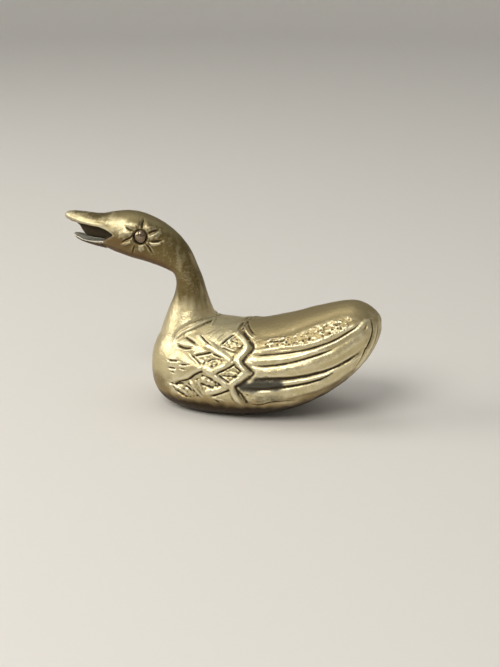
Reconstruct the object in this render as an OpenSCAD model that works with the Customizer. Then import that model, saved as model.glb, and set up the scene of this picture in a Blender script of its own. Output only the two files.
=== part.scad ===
// A hollow brass duck. Two cast half shells make the body, and the neck, head
// and upper bill are one casting that stands in a socket behind the breast.
// The duck faces -X, its left side is -Y, and it stands on a flat ground
// patch at z = 0. Lengths are in millimetres.

/* [Body] */
// Length of the body from breast to tail
body_len = 74.6; // [68:0.2:82]
// Width of the body across both halves
body_w = 34; // [30:0.5:38]
// Height of the body at the top of the tail
body_h = 38.4; // [35:0.2:42]
// Thickness of the cast wall
wall = 2.4; // [1.8:0.1:3]
// Diameter of the vent hole in the belly
vent_d = 2.4; // [1.6:0.1:4]

/* [Wings and feathers] */
// Depth of the long grooves in the wings
groove_depth = 0.6; // [0.2:0.05:1]
// Height of the zigzag border in front of the wing
border_height = 0.7; // [0.2:0.05:1]
// Height of the tallest ridges between the breast feathers
ridge_height = 0.5; // [0.1:0.05:0.8]
// How far the breast feathers are puffed up or sunk
pad_height = 0.35; // [0.1:0.05:0.5]

/* [Neck and head] */
// Height of the neck foot above the shoulders
foot_rise = 3.8; // [3:0.2:5]
// Height from the neck joint to the crown
neck_rise = 29.8; // [26:0.2:34]
// Distance from the neck joint forward to the tip of the bill
head_reach = 41.9; // [38:0.2:46]
// Width of the head at the eyes
head_w = 12.6; // [11.6:0.2:14]
// Depth of the hollow in the lower bill
scoop_depth = 0.9; // [0.4:0.1:1.3]

/* [Neck joint] */
// Diameter of the spigot under the neck
spigot_d = 7; // [6:0.2:7.6]
// Length of the spigot
spigot_len = 8; // [6:0.5:10]
// Diameter of the socket boss inside the body
boss_d = 11.6; // [11:0.2:12]
// Play left at the end of each blind pin
pin_end_gap = 0.5; // [0.2:0.1:1]
// Radial clearance of every pin in its hole
fit_gap = 0.05; // [0.03:0.01:0.1]
// Thickness of the brazed joints
braze_t = 0.2; // [0.1:0.05:0.4]

/* [Register pegs] */
// Diameter of the pegs that line up the halves
peg_d = 2.4; // [1.6:0.2:3]
// Length that a peg reaches into the other half
peg_len = 2; // [1.5:0.1:3]
// Diameter of the bosses behind the pegs
peg_boss_d = 5.6; // [5:0.2:6.4]
// Depth of the bosses behind the pegs
peg_boss_len = 4; // [3.6:0.2:5]

/* [Eyes and lower bill] */
// Diameter of the head of an eye stud
eye_d = 4.3; // [3:0.1:5]
// Height of the head of an eye stud
eye_rise = 1.5; // [1:0.1:2]
// Depth of the seat under an eye stud
eye_seat = 1; // [0.6:0.1:1.4]
// Diameter of the shank of an eye stud
shank_d = 1.6; // [1.2:0.1:2]
// Length of the shank of an eye stud
shank_len = 2.4; // [1.6:0.1:3]
// Diameter of the tenon on the lower bill
tenon_d = 2; // [1.4:0.1:2.2]
// Length of the tenon on the lower bill
tenon_len = 4; // [3:0.2:5]

/* [Hidden] */
$fn = 64;

// Places that the pieces share
breast_x = -0.314 * body_len;
neck_x = breast_x + 0.169 * body_len;
shoulder_z = 0.753 * body_h;
joint_z = shoulder_z + foot_rise;
neck_base_z = joint_z + braze_t;
seam_y = braze_t / 2;
socket_z = joint_z - spigot_len - pin_end_gap;
far = 200;
peg_inset = wall + peg_boss_d / 2 - 1;
pegs = [at_body(0, 36) + [peg_inset, 0, 0], at_body(86, 99) - [0, 0, peg_inset]];
vent_land = 1.5;
vent_at = at_body(40, 0) + [0, vent_d / 2 + vent_land, 0];
tenon_at = at_head(65.5, 62.5);
step_x = tenon_at[0];
step_z = at_head(0, 69)[2];
eye_at = at_head(34.5, 77);
eye_y = 0.97 * head_w / 2;

// Body stations from breast to tail. Distance from the breast, underside,
// back and half width, each in percent of its own size
BODY = [
    [0, 34, 38, 5], [0.8, 22.5, 48.5, 28], [3, 13, 59, 50.5], [7.2, 4.7, 67.7, 70.5],
    [14, -1, 74, 86], [24.7, -3.6, 76.6, 96.5], [36.7, -3, 75, 100], [48.8, -0.5, 77.6, 100],
    [61, 4.7, 84.4, 95.5], [71.6, 13, 91.7, 87], [81, 24.5, 97.4, 75.5], [89, 38.5, 100, 62.5],
    [95.2, 53.6, 95.8, 47], [98.7, 67.2, 89, 29.5], [100, 76.5, 82, 5]
];
body_steps = [2, 2, 2, 6, 12, 13, 12, 6, 5, 4, 4, 3, 2, 2];

// Head stations from the neck foot to the bill. Back and height of the upper
// edge, the same of the lower edge, and the half width. Distances run forward
// from the neck joint in percent of the reach, heights in percent of the rise
NECK = [
    [-26, -22.5, 27.5, -49.5, 182], [-20, -11, 21.5, -21, 136], [-16, 1, 16, -1, 101.5],
    [-13, 14.5, 12, 13, 82.5], [-10, 28.5, 10.5, 25, 76], [-5.5, 44, 12, 35, 76],
    [-0.5, 60.5, 17.5, 39, 79.5], [9, 77, 25.5, 42.5, 87.5], [21, 89.5, 34, 45.5, 95],
    [35, 97.5, 44.5, 48.5, 100], [48, 100, 53, 52, 98.5], [60, 98, 61.5, 55.5, 87.5],
    [68.5, 95, 68.5, 59.5, 76]
];
UPPER_BILL = [
    [66, 95.5, 66, 69, 78], [78, 95, 78.5, 73.5, 62], [86.5, 96, 87.5, 77, 49],
    [93.5, 96, 93.5, 82, 38], [98.5, 94.5, 98, 86, 25.5], [100, 91.5, 100, 89, 8]
];
LOWER_BILL = [
    [65.5, 67.5, 65.5, 56.5, 70], [74.5, 69, 74.5, 59, 58.5], [84, 71.5, 84, 62.5, 47.5],
    [90, 73.5, 90, 64, 35], [93, 72, 93, 68, 12]
];
// The hollow of the lower bill, and the web that closes the back of the mouth
SCOOP = [
    [65, 80, 65, 67.5, 54], [74.5, 81, 74.5, 69, 44], [84, 83, 84, 71.5, 34],
    [90, 84, 90, 73, 18]
];
WEB = [
    [62, 86, 62, 66, 46], [74.5, 86, 74.5, 67.5, 36], [83, 88, 81, 71, 22]
];

// Lines of points up one flank, as shares of the body's height where the wing
// begins and where it ends, and how far each stands out, 1 at the crest of a
// wing feather and -1 at the bottom of a groove
LINES = [
    [0, 0, 0], [0.0015, 0.0015, 0], [0.006, 0.006, 0], [0.022, 0.02, 0], [0.05, 0.04, 0],
    [0.09, 0.065, 0], [0.13, 0.09, 0], [0.165, 0.105, 0], [0.195, 0.12, 0], [0.225, 0.13, 0],
    [0.25, 0.145, -1], [0.275, 0.165, 0.3], [0.305, 0.185, 0.8], [0.335, 0.21, 1],
    [0.365, 0.232, 0.8], [0.395, 0.255, 0.3], [0.43, 0.28, -1], [0.455, 0.3, 0.1],
    [0.485, 0.32, 0.2], [0.515, 0.34, -1], [0.54, 0.365, 0.2], [0.565, 0.41, 0.8],
    [0.59, 0.45, 1], [0.615, 0.49, 0.8], [0.64, 0.53, 0.3], [0.67, 0.565, -1],
    [0.695, 0.595, 0.2], [0.72, 0.67, 0.8], [0.745, 0.75, 0.2], [0.77, 0.78, -1],
    [0.79, 0.805, 0.2], [0.815, 0.835, 0.8], [0.84, 0.86, 0.5], [0.865, 0.88, 0.2],
    [0.89, 0.905, 0], [0.915, 0.93, 0], [0.94, 0.955, 0], [0.965, 0.975, 0],
    [0.985, 0.99, 0], [0.996, 0.997, 0], [1, 1, 0]
];
wing_start = 49;
wing_end = 96.5;
// The grooves fade in behind the zigzag and out before the tail
wing_run = 3;
wing_fade = 91;
// The zigzag valley in front of the wing, as share of the height and percent
// of the length, and how far before it the crest of the border runs
ZIGZAG = [[0.23, 48], [0.355, 45.2], [0.42, 43.3], [0.465, 45.6], [0.585, 50.3],
    [0.62, 49.6], [0.685, 46.1], [0.735, 46.7], [0.84, 49.1], [0.89, 46.7], [0.94, 43.1]];
border_back = 2.2;
border_half = 1.6;
valley_half = 1.2;
// Lines between the breast feathers. Height as a share of the tallest ridge,
// below zero for a groove, half width in mm, and points in percent of the
// body's length and height
LINES_OF_BREAST = [
    [0.8, 1.1, [[28.5, 76.5], [23.5, 74.5], [17, 68], [14, 62.5], [13.5, 58.5]]],
    [1.1, 1.5, [[28.5, 63.5], [36.5, 57], [41, 52]]],
    [0.8, 1.2, [[24, 69], [29, 60.5]]],
    [-0.8, 1, [[25.5, 68], [31.5, 62]]],
    [-1.2, 1.1, [[24, 53.5], [26, 55.5], [31.5, 58], [37.5, 54.5]]],
    [1.1, 1.4, [[28.5, 45.5], [33.5, 44.5], [40, 52]]],
    [-1.3, 1, [[34.5, 42.5], [39, 47], [42.5, 52]]],
    [-1.2, 1.2, [[14, 29.5], [22, 34.5], [25, 40], [28.5, 43.5]]],
    [1, 1, [[22.5, 34], [25, 28.5], [30, 20.5]]],
    [1.1, 1.4, [[30.5, 26], [37, 30.5], [41, 34.5]]],
    [1, 1.2, [[32, 42], [40, 34.5]]],
    [-1.1, 1, [[32.5, 22.5], [37, 26.5], [40.5, 30]]],
    [0.8, 1, [[41, 31.5], [44, 20.5]]]
];
// Breast feathers by their corners, clockwise from the front, and which are
// puffed up, 1, or sunk, -1
PADS = [
    [0.9, [[26, 68.5], [30, 73.5], [38.5, 72.5], [33.5, 62.5]]],
    [0.9, [[14.5, 60.5], [18.5, 67.5], [26, 61.5], [24, 55]]],
    [1, [[11, 47], [16.5, 57], [28, 47], [16, 31]]],
    [-1, [[35.5, 63], [40, 71], [46, 65], [42, 60]]],
    [-0.6, [[26.5, 52], [31.5, 57], [38, 53.5], [33, 45.5]]],
    [-1, [[35, 42], [43, 52], [46, 46], [41, 36.5]]],
    [-0.7, [[23, 34], [28, 40.5], [39, 33.5], [30.5, 23.5]]],
    [-0.8, [[13, 28.5], [22, 33.5], [28, 21], [20.5, 15.5]]]
];
pad_slope = 1.5;
// Widest place of a section, as a share of its height, and how square it is
widest = 0.42;
upper_power = 2.1;
lower_power = 2.5;
cavity_lines = 14;
sides = 36;
foot_steps = [4, 4, 4];

// A point in the middle plane from percents of the body's or the head's sizes
function at_body(along, up) = [breast_x + body_len * along / 100, 0, body_h * up / 100];
function at_head(forward, up) =
    [neck_x - head_reach * forward / 100, 0, joint_z + neck_rise * up / 100];

// Smooth curve through the stations, with its own number of steps in each span
function blend(a, b, c, d, t) = 0.5 * (2 * b + (c - a) * t
    + (2 * a - 5 * b + 4 * c - d) * t * t + (3 * b - a - 3 * c + d) * t * t * t);
function spline(st, steps) = [
    for (i = [0:len(st) - 2]) for (k = [0:steps[i] - 1])
        blend(st[max(i - 1, 0)], st[i], st[i + 1], st[min(i + 2, len(st) - 1)], k / steps[i]),
    st[len(st) - 1]
];
function even_steps(st, n) = [for (i = [1:len(st) - 1]) n];

// Half width of a body section at a share of its height, 1 at the widest
function girth(v) = v > widest
    ? pow(1 - pow((v - widest) / (1 - widest), upper_power), 1 / upper_power)
    : pow(1 - pow((widest - v) / widest, lower_power), 1 / lower_power);

// Relief of the flank, in mm outwards
function bump(d, half) = abs(d) < half ? 0.5 + 0.5 * cos(180 * d / half) : 0;
function ramp(x, a, b) = max(0, min(1, (x - a) / (b - a)));
function sum(list) = list * [for (v = list) 1];
function on_flank(line) = [for (p = line) [at_body(p[0], 0)[0], at_body(0, p[1])[2]]];
BREAST_LINES = [for (s = LINES_OF_BREAST) [s[0] * ridge_height, s[1], on_flank(s[2])]];
BREAST_PADS = [for (s = PADS) [s[0] * pad_height, on_flank(s[1])]];
// Distance from a piece of line, and from a whole one
function off_piece(q, a, b) = let (
        t = ramp((q - a) * (b - a), 0, (b - a) * (b - a))
    ) norm(q - a - t * (b - a));
function off_line(q, line) = min([for (i = [1:len(line) - 1]) off_piece(q, line[i - 1], line[i])]);
// Depth inside the outline of a feather
function inside(q, line) = min([for (i = [0:len(line) - 1]) let (
        a = line[i], step = line[(i + 1) % len(line)] - a, to = q - a
    ) (step[1] * to[0] - step[0] * to[1]) / norm(step)]);
function breast(q) = sum([for (s = BREAST_LINES) s[0] * bump(off_line(q, s[2]), 1.2 * s[1])])
    + sum([for (s = BREAST_PADS) s[0] * ramp(inside(q, s[1]), 0, pad_slope)]);
function relief(x, z, v, line) = let (
        past = x - at_body(lookup(v, ZIGZAG), 0)[0],
        flank = ramp(v, 0.1, 0.2) * ramp(v, 0.96, 0.9),
        border = border_height * bump(past + border_back, border_half)
            - groove_depth * bump(past, valley_half),
        fade = ramp(x, at_body(wing_end, 0)[0], at_body(wing_fade, 0)[0]),
        wing = groove_depth * line * ramp(past, 0, wing_run) * fade,
        feathers = past < -border_back ? breast([x, z]) : 0
    ) flank * (border + feathers) + (past > 0 ? wing : 0);

// One half section of the body, from the underside up to the back
function body_section(s) = let (
        x = at_body(s[0], 0)[0], low = at_body(0, s[1])[2], high = at_body(0, s[2])[2],
        half = body_w / 2 * s[3] / 100, mid = low + widest * (high - low),
        t = ramp(s[0], wing_start, wing_end)
    ) [for (l = LINES) let (
        v = l[0] + (l[1] - l[0]) * t,
        y = half * girth(v), z = low + v * (high - low),
        grow = 1 + relief(x, z, v, l[2]) / max(norm([y, z - mid]), 1)
    ) [x, max(seam_y, y * grow), max(0, v == 0 || v == 1 ? z : mid + (z - mid) * grow)]];
// The same section of the cavity, a wall thickness inside, and the stations
// that are high enough for it
function cavity() = spline([for (i = [1:13]) BODY[i]], [for (i = [1:12]) 2]);
function cavity_section(s) = let (
        shrink = (body_len - 2 * wall) / body_len,
        x = breast_x + wall + (at_body(s[0], 0)[0] - breast_x) * shrink,
        low = max(0, at_body(0, s[1])[2]) + wall, high = at_body(0, s[2])[2] - wall,
        half = body_w / 2 * s[3] / 100 - wall
    ) [for (k = [0:cavity_lines]) let (v = 0.5 - 0.5 * cos(180 * k / cavity_lines))
        [x, k == 0 || k == cavity_lines ? -1 : half * girth(v), low + v * (high - low)]];
// A round section between two points in the middle plane
function round_section(s) = let (
        back = at_head(s[0], s[1]), front = at_head(s[2], s[3]),
        half = head_w / 2 * s[4] / 100
    ) [for (k = [0:sides - 1]) let (a = 360 * k / sides)
        (back + front) / 2 + (back - front) / 2 * cos(a) + [0, half * sin(a), 0]];
// Half of a round section, cut straight at the seam
function half_round_section(s) = [for (k = [0:sides / 2]) let (
        p = round_section(s)[k]) [p[0], max(seam_y, p[1]), p[2]]];

// A closed skin over a row of sections
module skin(rings) {
    m = len(rings[0]);
    n = len(rings);
    points = [for (r = rings) each r];
    // Each four-sided patch is split along its shorter diagonal
    walls = [for (i = [0:n - 2]) for (j = [0:m - 1]) let (
            a = i * m + j, b = i * m + (j + 1) % m,
            rising = norm(points[b] - points[a + m]) <= norm(points[a] - points[b + m]))
        each rising ? [[a, a + m, b], [b, a + m, b + m]] : [[a, a + m, b + m], [a, b + m, b]]];
    ends = [[for (j = [0:m - 1]) j], [for (j = [m - 1:-1:0]) (n - 1) * m + j]];
    polyhedron(points, concat(walls, ends));
}
module tube(st, steps) {
    skin([for (s = spline(st, even_steps(st, steps))) round_section(s)]);
}
// Joins castings' skins into one before round holes are cut
module one_skin() {
    resize([0, 0, 0]) children();
}
module above(z) {
    translate([-far / 2, -far / 2, z]) cube([far, far, far]);
}
module below(z) {
    translate([-far / 2, -far / 2, z - far]) cube([far, far, far]);
}
// Everything on the +Y side of the seam
module beside_seam() {
    translate([-far / 2, seam_y, -far / 2]) cube([far, far, far]);
}
// A pin or hole across the seam, from one depth to another
module across(at, d, from, to) {
    translate([at[0], from, at[2]]) rotate([-90, 0, 0]) cylinder(h = to - from, d = d);
}
module socket() {
    translate([neck_x, 0, socket_z - 1])
        cylinder(h = neck_base_z - socket_z + 2, d = spigot_d + 2 * fit_gap);
}
// The foot of the neck, which the halves carry up to the joint
function foot() = spline([for (i = [0:3]) NECK[i]], foot_steps);

// One half shell, with the bosses for the neck and the pegs inside
module half_shell() {
    one_skin() {
        difference() {
            union() {
                skin([for (s = spline(BODY, body_steps)) body_section(s)]);
                difference() {
                    skin([for (s = foot()) half_round_section(s)]);
                    above(joint_z);
                }
            }
            skin([for (s = cavity()) cavity_section(s)]);
        }
        intersection() {
            translate([neck_x, 0, socket_z])
                cylinder(h = joint_z - socket_z, d = boss_d, $fn = 32);
            beside_seam();
        }
        for (p = pegs) across(p, peg_boss_d, seam_y, peg_boss_len, $fn = 32);
    }
}

module body_left() {
    color([0.72, 0.62, 0.36]) mirror([0, 1, 0]) difference() {
        half_shell();
        socket();
        translate(vent_at - [0, 0, 1]) cylinder(h = 2 * wall + 1, d = vent_d);
        for (p = pegs)
            across(p, peg_d + 2 * fit_gap, seam_y - 1, seam_y + peg_len + pin_end_gap);
    }
}

module body_right() {
    color([0.72, 0.62, 0.36]) {
        difference() {
            half_shell();
            socket();
        }
        for (p = pegs) across(p, peg_d, -seam_y - peg_len, seam_y + 1);
    }
}

// Filler between the halves, with the outline of the wall in the middle plane
function outline(rings) = concat(
    [for (r = rings) [r[0][0], r[0][2]]],
    [for (i = [len(rings) - 1:-1:0]) let (p = rings[i][len(rings[i]) - 1]) [p[0], p[2]]]
);
module seam_braze() {
    bore_d = spigot_d + 2 * fit_gap;
    color([0.8, 0.68, 0.4]) one_skin()
        rotate([90, 0, 0]) linear_extrude(height = braze_t, center = true) difference() {
            union() {
                polygon(outline([for (s = spline(BODY, body_steps)) body_section(s)]));
                difference() {
                    polygon(outline([for (s = foot()) half_round_section(s)]));
                    translate([-far / 2, joint_z]) square([far, far]);
                }
            }
            polygon(outline([for (s = cavity()) cavity_section(s)]));
            translate([neck_x - bore_d / 2, socket_z]) square([bore_d, far]);
        }
}

// Filler under the foot of the neck
module neck_braze() {
    color([0.8, 0.68, 0.4]) difference() {
        one_skin() difference() {
            tube([for (i = [0:4]) NECK[i]], 4);
            above(neck_base_z);
            below(joint_z);
        }
        socket();
    }
}

// Neck, head and upper bill in one casting, with its spigot, its eye seats
// and the notch that the lower bill is set in
module neck_head() {
    color([0.7, 0.61, 0.35]) difference() {
        union() {
            one_skin() difference() {
                union() {
                    difference() {
                        tube([for (i = [1:12]) NECK[i]], 4);
                        translate([step_x - far, -far / 2, joint_z])
                            cube([far, far, step_z - joint_z]);
                    }
                    tube(UPPER_BILL, 4);
                    tube(WEB, 4);
                }
                below(neck_base_z);
            }
            translate([neck_x, 0, joint_z - spigot_len])
                cylinder(h = spigot_len + braze_t + 1, d = spigot_d);
        }
        for (side = [-1, 1]) scale([1, side, 1]) {
            across(eye_at, eye_d + 2 * fit_gap, eye_y - eye_seat, far);
            across(eye_at, shank_d + 2 * fit_gap, eye_y - eye_seat - shank_len - pin_end_gap, far);
        }
        translate(tenon_at - [1, 0, 0]) rotate([0, 90, 0])
            cylinder(h = 1 + tenon_len + pin_end_gap, d = tenon_d + 2 * fit_gap);
    }
}

module lower_bill() {
    color([0.6, 0.58, 0.48]) {
        one_skin() difference() {
            tube(LOWER_BILL, 4);
            translate([0, 0, -scoop_depth]) tube(SCOOP, 4);
        }
        translate(tenon_at - [1, 0, 0]) rotate([0, 90, 0])
            cylinder(h = 1 + tenon_len, d = tenon_d);
    }
}

// A domed stud, its flat seat at eye_y less the depth of the seat
module eye_stud() {
    seat = eye_y - eye_seat;
    ball = (eye_d * eye_d / 4 + eye_rise * eye_rise) / (2 * eye_rise);
    across(eye_at, shank_d, seat - shank_len, seat + eye_rise / 2);
    intersection() {
        translate([eye_at[0], seat + eye_rise - ball, eye_at[2]]) sphere(r = ball);
        across(eye_at, eye_d, seat, seat + far);
    }
}
module eye_stud_left() {
    color([0.62, 0.5, 0.34]) mirror([0, 1, 0]) eye_stud();
}
module eye_stud_right() {
    color([0.62, 0.5, 0.34]) eye_stud();
}

body_left();
body_right();
seam_braze();
neck_braze();
neck_head();
lower_bill();
eye_stud_left();
eye_stud_right();
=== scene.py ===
import math

import bmesh
import bpy
import numpy as np
from mathutils import Matrix, Vector, kdtree, noise
from mathutils.bvhtree import BVHTree


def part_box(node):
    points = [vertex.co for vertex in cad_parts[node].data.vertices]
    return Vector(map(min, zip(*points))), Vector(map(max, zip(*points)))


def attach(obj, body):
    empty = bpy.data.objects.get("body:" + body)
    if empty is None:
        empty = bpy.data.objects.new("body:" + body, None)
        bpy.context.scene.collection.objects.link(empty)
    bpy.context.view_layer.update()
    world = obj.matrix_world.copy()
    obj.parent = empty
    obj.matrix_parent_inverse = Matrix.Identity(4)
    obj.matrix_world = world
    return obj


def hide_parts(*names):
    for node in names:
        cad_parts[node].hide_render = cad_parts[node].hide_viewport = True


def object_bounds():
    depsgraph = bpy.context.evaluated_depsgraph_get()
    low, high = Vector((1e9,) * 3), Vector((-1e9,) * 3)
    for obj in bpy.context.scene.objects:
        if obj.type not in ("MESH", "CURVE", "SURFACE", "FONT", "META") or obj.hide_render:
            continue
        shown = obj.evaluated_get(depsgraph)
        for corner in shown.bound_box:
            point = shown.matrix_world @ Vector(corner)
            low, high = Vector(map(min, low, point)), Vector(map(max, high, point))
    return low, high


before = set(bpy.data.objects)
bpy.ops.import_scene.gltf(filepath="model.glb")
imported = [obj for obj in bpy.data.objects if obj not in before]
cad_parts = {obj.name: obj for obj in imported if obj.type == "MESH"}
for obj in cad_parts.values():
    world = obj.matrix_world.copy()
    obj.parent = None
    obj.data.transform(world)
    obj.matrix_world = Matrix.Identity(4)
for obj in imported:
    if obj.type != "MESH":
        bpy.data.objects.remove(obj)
CAD_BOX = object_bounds()

# The bird's outer skin, which all the castings are cut from. The real one was
# carved once as a pattern: a boat-shaped body that runs into a long neck and a
# small head. Lengths are in millimetres until a piece is finished.
MM = 0.001
body_low, body_high = (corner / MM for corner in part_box("body_left"))
head_low, head_high = (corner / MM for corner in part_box("neck_head"))
body_len = body_high.x - body_low.x
body_h = body_high.z
joint_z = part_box("neck_braze")[0].z / MM
neck_base_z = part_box("neck_braze")[1].z / MM
neck_x = body_low.x + 0.169 * body_len
head_reach = neck_x - head_low.x
neck_rise = head_high.z - joint_z
half_body = 17.0
half_head = 6.3
widest = 0.42
upper_power = 2.1
lower_power = 2.5
body_sides = 80
bill_widest = 0.3
bill_powers = 2, 3.4
neck_sides = 56
cleft_half = 20
voxel = 0.25

# Breast to tail: distance, underside, back and half width in percent
BODY = [
    (0, 34, 38, 5), (0.8, 22.5, 48.5, 28), (3, 13, 59, 50.5), (7.2, 4.7, 67.7, 70.5),
    (14, -1, 74, 86), (24.7, -3.6, 76.6, 96.5), (36.7, -3, 75, 100), (48.8, -0.5, 77.6, 100),
    (61, 4.7, 84.4, 95.5), (71.6, 13, 91.7, 87), (81, 24.5, 97.4, 75.5), (89, 38.5, 100, 62.5),
    (95.2, 53.6, 95.8, 47), (98.7, 67.2, 89, 29.5), (100, 76.5, 82, 5),
]
# Neck foot to brow: upper edge and lower edge, forward and up, and half width
NECK = [
    (-26, -22.5, 27.5, -49.5, 182), (-20, -11, 21.5, -21, 136), (-16, 1, 16, -1, 101.5),
    (-13, 14.5, 12, 13, 82.5), (-10, 28.5, 10.5, 25, 76), (-5.5, 44, 12, 35, 76),
    (-0.5, 60.5, 17.5, 39, 79.5), (9, 77, 25.5, 42.5, 87.5), (21, 89.5, 34, 45.5, 95),
    (35, 97.5, 44.5, 48.5, 100), (48, 100, 53, 52, 98.5), (60, 98, 61.5, 55.5, 87.5),
    (68.5, 95, 68.5, 59.5, 76),
]
# Upper bill and the web behind it: place, top, underside and half width in mm
UPPER_BILL = [
    (-32, 61.6, 56.6, 5.2), (-37, 61.2, 57, 4.9), (-42, 60.9, 57.3, 4.1), (-46, 61.2, 57.6, 3.3),
    (-49.5, 61.3, 58.2, 2.5), (-51.8, 60.9, 58.9, 1.6), (-52.7, 60.2, 59.5, 0.6),
]
WEB = [
    (-32, 60, 50.8, 3.4), (-38.3, 60, 52.6, 2.1), (-42, 59.8, 53, 1.7), (-45, 59.8, 53.4, 1.4),
    (-46.4, 59.7, 54.7, 1.2), (-47.4, 59.6, 56.4, 1), (-49, 59.5, 57.8, 0.6),
]
# The corner of the mouth and the cleft that opens forward from it
MOUTH = [(-34.2, 55.6), (-37.2, 57), (-44, 58.2), (-60, 58.2), (-60, 52.8), (-39, 52.8)]


def spline(rows, steps):
    """Rows on a smooth curve through the given ones."""
    rows = np.array(rows, float)
    out = []
    for i in range(len(rows) - 1):
        a, b = rows[max(i - 1, 0)], rows[i]
        c, d = rows[i + 1], rows[min(i + 2, len(rows) - 1)]
        for k in range(steps):
            t = k / steps
            curve = 2 * b + (c - a) * t + (2 * a - 5 * b + 4 * c - d) * t**2
            out.append(0.5 * (curve + (3 * b - a - 3 * c + d) * t**3))
    return [*out, rows[-1]]


def power_of(value, power):
    """The signed power that turns a circle into a fuller round."""
    return math.copysign(abs(value) ** (2 / power), value)


def upright_ring(x, low, high, half, share, powers, count):
    """A full round across the bird, widest at that share of its height."""
    wide = low + share * (high - low)
    ring = []
    for k in range(count):
        turn = 2 * math.pi * k / count
        up = math.cos(turn)
        power = powers[0] if up >= 0 else powers[1]
        rise = high - wide if up >= 0 else wide - low
        y = half * power_of(math.sin(turn), power)
        ring.append(Vector((x, y, max(0, wide + rise * power_of(up, power)))))
    return ring


def body_ring(row):
    """The body's outline at one place along it."""
    along, low, high, half = row
    x = body_low.x + body_len * along / 100
    heights = body_h * low / 100, body_h * high / 100
    powers = upper_power, lower_power
    return upright_ring(x, *heights, half_body * half / 100, widest, powers, body_sides)


def neck_ring(row):
    """The neck's outline between its upper and its lower edge."""
    back, front = (
        Vector((neck_x - head_reach * f / 100, 0, joint_z + neck_rise * u / 100))
        for f, u in (row[:2], row[2:4])
    )
    ring = []
    for k in range(neck_sides):
        turn = 2 * math.pi * k / neck_sides
        side = Vector((0, half_head * row[4] / 100 * math.sin(turn), 0))
        ring.append((back + front) / 2 + (back - front) / 2 * math.cos(turn) + side)
    return ring


def bill_ring(row):
    """The outline of the upper bill or of the web behind it."""
    x, high, low, half = row
    return upright_ring(x, low, high, half, bill_widest, bill_powers, neck_sides)


def lofted(name, rings):
    """A closed form through rings of points, as an object."""
    bm = bmesh.new()
    loops = []
    for ring in rings:
        corners = [bm.verts.new(p) for p in ring]
        loops.append([bm.edges.new((corners[i - 1], corners[i])) for i in range(len(ring))])
    for first, second in zip(loops, loops[1:]):
        bmesh.ops.bridge_loops(bm, edges=first + second)
    bmesh.ops.holes_fill(bm, edges=loops[0] + loops[-1], sides=0)
    bmesh.ops.recalc_face_normals(bm, faces=bm.faces)
    return as_object(name, bm)


def as_object(name, bm):
    """Puts a finished mesh into the scene."""
    mesh = bpy.data.meshes.new(name)
    bm.to_mesh(mesh)
    bm.free()
    obj = bpy.data.objects.new(name, mesh)
    bpy.context.scene.collection.objects.link(obj)
    return obj


def settle(obj):
    """Applies the modifiers to the mesh."""
    view = bpy.context.evaluated_depsgraph_get()
    mesh = bpy.data.meshes.new_from_object(obj.evaluated_get(view))
    obj.modifiers.clear()
    obj.data = mesh
    return obj


def carve(obj, *steps):
    """Joins, cuts or keeps what tools cover, and throws the tools away."""
    for operation, tool in steps:
        cut = obj.modifiers.new(operation, "BOOLEAN")
        cut.operation = operation
        cut.solver = "MANIFOLD"
        cut.object = tool
    settle(obj)
    for _, tool in steps:
        bpy.data.objects.remove(tool)
    return obj


def block(low, high):
    """A box between two corners."""
    bm = bmesh.new()
    bmesh.ops.create_cube(bm, size=1)
    low, high = Vector(low), Vector(high)
    bmesh.ops.scale(bm, vec=high - low, verts=bm.verts)
    bmesh.ops.translate(bm, vec=(low + high) / 2, verts=bm.verts)
    return as_object("block", bm)


def prism(outline, half):
    """A side outline, as thick as twice half across the bird."""
    bm = bmesh.new()
    face = bm.faces.new([bm.verts.new((x, -half, z)) for x, z in outline])
    new = bmesh.ops.extrude_face_region(bm, geom=[face])["geom"]
    moved = [v for v in new if isinstance(v, bmesh.types.BMVert)]
    bmesh.ops.translate(bm, vec=(0, 2 * half, 0), verts=moved)
    bmesh.ops.recalc_face_normals(bm, faces=bm.faces)
    return as_object("prism", bm)


def evened(obj, size):
    """Rebuilds the mesh from even, small faces."""
    remesh = obj.modifiers.new("even", "REMESH")
    remesh.mode = "VOXEL"
    remesh.voxel_size = size
    return settle(obj)


skin = carve(
    lofted("skin", [neck_ring(row) for row in spline(NECK, 5)]),
    ("DIFFERENCE", prism(MOUTH, cleft_half)),
    ("UNION", lofted("bill", [bill_ring(row) for row in spline(UPPER_BILL, 5)])),
    ("UNION", lofted("web", [bill_ring(row) for row in spline(WEB, 4)])),
    ("UNION", lofted("body", [body_ring(row) for row in spline(BODY, 6)])),
)
evened(skin, voxel)


def points_of(mesh):
    """Where the vertices are, one row each."""
    flat = np.empty(len(mesh.vertices) * 3)
    mesh.vertices.foreach_get("co", flat)
    return flat.reshape(-1, 3)


def normals_of(mesh):
    """Which way the vertices face, one row each."""
    flat = np.empty(len(mesh.vertices) * 3)
    mesh.vertex_normals.foreach_get("vector", flat)
    return flat.reshape(-1, 3)


def edges_of(mesh):
    """The two vertices of each edge."""
    flat = np.empty(len(mesh.edges) * 2, int)
    mesh.edges.foreach_get("vertices", flat)
    return flat.reshape(-1, 2)


def neighbour_mean(values, edges):
    """Each row's mean over the vertices next to it."""
    count = np.bincount(edges.ravel(), minlength=len(values))
    total = np.zeros_like(values)
    for column in range(values.shape[1]):
        for near, other in ((0, 1), (1, 0)):
            weights = values[edges[:, other], column]
            total[:, column] += np.bincount(edges[:, near], weights, len(values))
    return total / np.maximum(count, 1)[:, None]


def eased(points, edges, passes):
    """Smooths without shrinking."""
    for _ in range(passes):
        for pull in (0.5, -0.52):
            points = points + pull * (neighbour_mean(points, edges) - points)
    return points


def blurred(values, edges, passes):
    """Spreads each row's values over its surroundings."""
    for _ in range(passes):
        values = 0.5 * values + 0.5 * neighbour_mean(values, edges)
    return values


def put(mesh, points):
    """Moves the vertices to new places."""
    mesh.vertices.foreach_set("co", points.ravel())
    mesh.update()


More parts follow.
